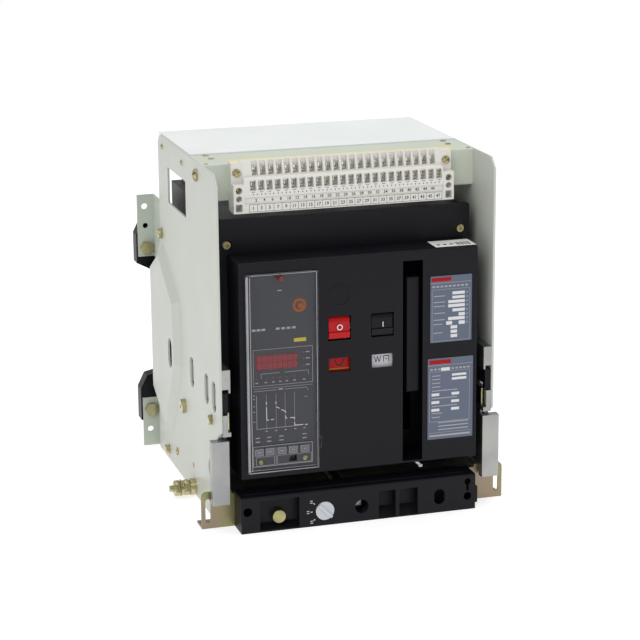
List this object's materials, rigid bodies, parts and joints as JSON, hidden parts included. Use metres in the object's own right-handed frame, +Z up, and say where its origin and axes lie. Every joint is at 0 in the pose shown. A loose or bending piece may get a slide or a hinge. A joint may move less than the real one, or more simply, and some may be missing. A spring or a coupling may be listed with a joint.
{
  "type": "withdrawable air circuit breaker",
  "caption": "Withdrawable three-pole air circuit breaker in a steel drawout cradle, with trip unit, buttons, charging handle, rear terminals and racking base.",
  "frame": {"origin": "on the underside of the floor tray, midway between the side plates, 198.5 mm behind their front edges", "axes": "+X to the right seen from the front, +Y to the rear terminals, +Z up; the front faces -Y"},
  "size_m": [0.3946, 0.4245, 0.433],
  "materials": {
    "plate_paint": "satin powder coat, pale grey green",
    "cover_paint": "satin powder coat, near white",
    "beam_paint": "satin powder coat, pale mint",
    "yellow_zinc": "yellow passivated zinc plate",
    "silver_aluminium": "fine brushed, clear anodised",
    "black_moulding": "fine textured satin",
    "grey_moulding": "satin",
    "controller_plastic": "printed satin film",
    "key_plastic": "satin",
    "display_red": "tinted gloss",
    "clear_plastic": "clear gloss moulding",
    "red_plastic": "gloss",
    "black_plastic": "satin gloss",
    "white_plastic": "printed",
    "dial_plastic": "satin",
    "data_plate": "printed satin",
    "brass": "turned",
    "silver_copper": "silver plated",
    "copper_braid": "woven bare copper",
    "steel": "zinc plated",
    "spring_steel": "oiled",
    "insulator": "moulded",
    "chute_board": "pressed board",
    "transformer_resin": "cast resin"
  },
  "bodies": {
    "cradle": {"side_plate_left": "plate_paint", "side_plate_right": "plate_paint", "plate_fixings": "yellow_zinc", "top_cover": "cover_paint", "cross_beam": "beam_paint", "terminal_block": "grey_moulding", "terminal_screws": "brass", "foot_bar": "yellow_zinc", "floor_tray": "plate_paint", "rear_brackets": "plate_paint", "bracket_bolts": "yellow_zinc", "rear_base": "black_moulding", "cradle_terminals": "silver_copper", "contact_clusters": "steel", "earth_stud": "yellow_zinc", "earth_nuts": "yellow_zinc", "upper_guides": "silver_aluminium", "base_beam": "black_moulding"},
    "breaker": {"pole_case": "black_moulding", "body_panel": "black_moulding", "panel_screws": "brass", "front_cover": "black_moulding", "rating_plate_upper": "data_plate", "rating_plate_lower": "data_plate", "controller_case": "controller_plastic", "display_lens": "display_red", "controller_screws": "brass", "mechanism_frame": "steel", "closing_springs": "spring_steel", "carrier_pin": "steel", "breaker_terminals": "silver_copper", "arc_chutes": "chute_board", "current_transformers": "transformer_resin", "flexible_braids": "copper_braid", "charging_motor": "steel", "release_coils": "black_plastic", "breaker_runners": "yellow_zinc"},
    "pull_rail_left": {"pull_rail_left": "silver_aluminium"},
    "pull_rail_right": {"pull_rail_right": "silver_aluminium"},
    "release_button": {"release_button": "brass"},
    "position_dial": {"position_dial": "dial_plastic"},
    "racking_screw": {"racking_screw": "steel"},
    "carriage": {"carriage": "steel"},
    "key_1": {"key_1": "key_plastic"},
    "key_2": {"key_2": "key_plastic"},
    "key_3": {"key_3": "key_plastic"},
    "key_4": {"key_4": "key_plastic"},
    "key_5": {"key_5": "key_plastic"},
    "reset_button": {"reset_button": "red_plastic"},
    "clear_lid": {"clear_lid": "clear_plastic"},
    "off_button": {"off_button": "red_plastic"},
    "on_button": {"on_button": "black_plastic"},
    "contact_flag": {"contact_flag": "red_plastic"},
    "charge_flag": {"charge_flag": "white_plastic"},
    "charging_handle": {"charging_handle": "black_moulding"},
    "cam_shaft": {"cam_shaft": "steel"},
    "crosshead": {"crosshead": "steel"},
    "main_shaft": {"main_shaft": "steel"},
    "contact_links": {"contact_links": "insulator"},
    "moving_contacts": {"moving_contacts": "silver_copper"}
  },
  "joints": [
    {"name": "carriage_slide", "type": "slide", "parent": "cradle", "child": "carriage", "axis": [0, -1, 0], "range_m": [0, 0.058]},
    {"name": "breaker_slide", "type": "slide", "parent": "carriage", "child": "breaker", "axis": [0, -1, 0], "range_m": [0, 0.24]},
    {"name": "pull_rail_left_slide", "type": "slide", "parent": "cradle", "child": "pull_rail_left", "axis": [0, -1, 0], "range_m": [0, 0.24]},
    {"name": "pull_rail_right_slide", "type": "slide", "parent": "cradle", "child": "pull_rail_right", "axis": [0, -1, 0], "range_m": [0, 0.24]},
    {"name": "racking_screw_turn", "type": "hinge", "parent": "cradle", "child": "racking_screw", "pos_m": [-0.001, -0.0585, 0.0186], "axis": [0, -1, 0], "range_deg": [0, 2611]},
    {"name": "position_dial_turn", "type": "hinge", "parent": "cradle", "child": "position_dial", "pos_m": [-0.0474, -0.1985, 0.0185], "axis": [0, -1, 0], "range_deg": [0, 90]},
    {"name": "release_button_press", "type": "slide", "parent": "cradle", "child": "release_button", "axis": [0, 1, 0], "range_m": [0, 0.0028], "stiffness_N_per_m": 400, "springref_m": -0.004},
    {"name": "off_button_press", "type": "slide", "parent": "breaker", "child": "off_button", "axis": [0, 1, 0], "range_m": [0, 0.004], "stiffness_N_per_m": 400, "springref_m": -0.004},
    {"name": "on_button_press", "type": "slide", "parent": "breaker", "child": "on_button", "axis": [0, 1, 0], "range_m": [0, 0.004], "stiffness_N_per_m": 400, "springref_m": -0.004},
    {"name": "reset_button_press", "type": "slide", "parent": "breaker", "child": "reset_button", "axis": [0, 1, 0], "range_m": [0, 0.0028], "stiffness_N_per_m": 400, "springref_m": -0.003},
    {"name": "key_1_press", "type": "slide", "parent": "breaker", "child": "key_1", "axis": [0, 1, 0], "range_m": [0, 0.001], "stiffness_N_per_m": 600, "springref_m": -0.001},
    {"name": "key_2_press", "type": "slide", "parent": "breaker", "child": "key_2", "axis": [0, 1, 0], "range_m": [0, 0.001], "stiffness_N_per_m": 600, "springref_m": -0.001},
    {"name": "key_3_press", "type": "slide", "parent": "breaker", "child": "key_3", "axis": [0, 1, 0], "range_m": [0, 0.001], "stiffness_N_per_m": 600, "springref_m": -0.001},
    {"name": "key_4_press", "type": "slide", "parent": "breaker", "child": "key_4", "axis": [0, 1, 0], "range_m": [0, 0.001], "stiffness_N_per_m": 600, "springref_m": -0.001},
    {"name": "key_5_press", "type": "slide", "parent": "breaker", "child": "key_5", "axis": [0, 1, 0], "range_m": [0, 0.001], "stiffness_N_per_m": 600, "springref_m": -0.001},
    {"name": "charging_handle_pull", "type": "hinge", "parent": "breaker", "child": "charging_handle", "pos_m": [0.0701, -0.1205, 0.172], "axis": [1, 0, 0], "range_deg": [0, 75], "stiffness_Nm_per_rad": 0.5, "springref_deg": -34.38},
    {"name": "clear_lid_hinge", "type": "hinge", "parent": "breaker", "child": "clear_lid", "pos_m": [-0.137, -0.2006, 0.19], "axis": [0, 0, -1], "range_deg": [0, 95]},
    {"name": "main_shaft_turn", "type": "hinge", "parent": "breaker", "child": "main_shaft", "pos_m": [0, -0.0535, 0.14], "axis": [-1, 0, 0], "range_deg": [0, 22], "stiffness_Nm_per_rad": 2, "springref_deg": -28.65},
    {"name": "contact_link_turn", "type": "hinge", "parent": "main_shaft", "child": "contact_links", "pos_m": [0, -0.06774, 0.17523], "axis": [1, 0, 0], "range_deg": [0, 22]},
    {"name": "moving_contacts_turn", "type": "hinge", "parent": "breaker", "child": "moving_contacts", "pos_m": [0, 0.0415, 0.14], "axis": [-1, 0, 0], "range_deg": [0, 22]},
    {"name": "contact_flag_slide", "type": "slide", "parent": "breaker", "child": "contact_flag", "axis": [0, 0, -1], "range_m": [0, 0.018]},
    {"name": "cam_shaft_turn", "type": "hinge", "parent": "breaker", "child": "cam_shaft", "pos_m": [0, -0.0985, 0.215], "axis": [1, 0, 0], "range_deg": [0, 180]},
    {"name": "crosshead_slide", "type": "slide", "parent": "breaker", "child": "crosshead", "axis": [0, 0, -1], "range_m": [0, 0.024], "stiffness_N_per_m": 300, "springref_m": -0.01, "deforming": ["closing_springs"]},
    {"name": "charge_flag_slide", "type": "slide", "parent": "breaker", "child": "charge_flag", "axis": [0, 0, -1], "range_m": [0, 0.016]}
  ],
  "couplings": [
    {"joint": "racking_screw_turn", "follows": "carriage_slide", "rad_per_m": 785.4},
    {"joint": "position_dial_turn", "follows": "carriage_slide", "rad_per_m": 27.08},
    {"joint": "contact_link_turn", "follows": "main_shaft_turn", "ratio": 1},
    {"joint": "moving_contacts_turn", "follows": "main_shaft_turn", "ratio": 1},
    {"joint": "contact_flag_slide", "follows": "main_shaft_turn", "m_per_rad": 0.04687},
    {"joint": "crosshead_slide", "follows": "cam_shaft_turn", "m_per_rad": 0.00763},
    {"joint": "charge_flag_slide", "follows": "cam_shaft_turn", "m_per_rad": 0.00509}
  ]
}
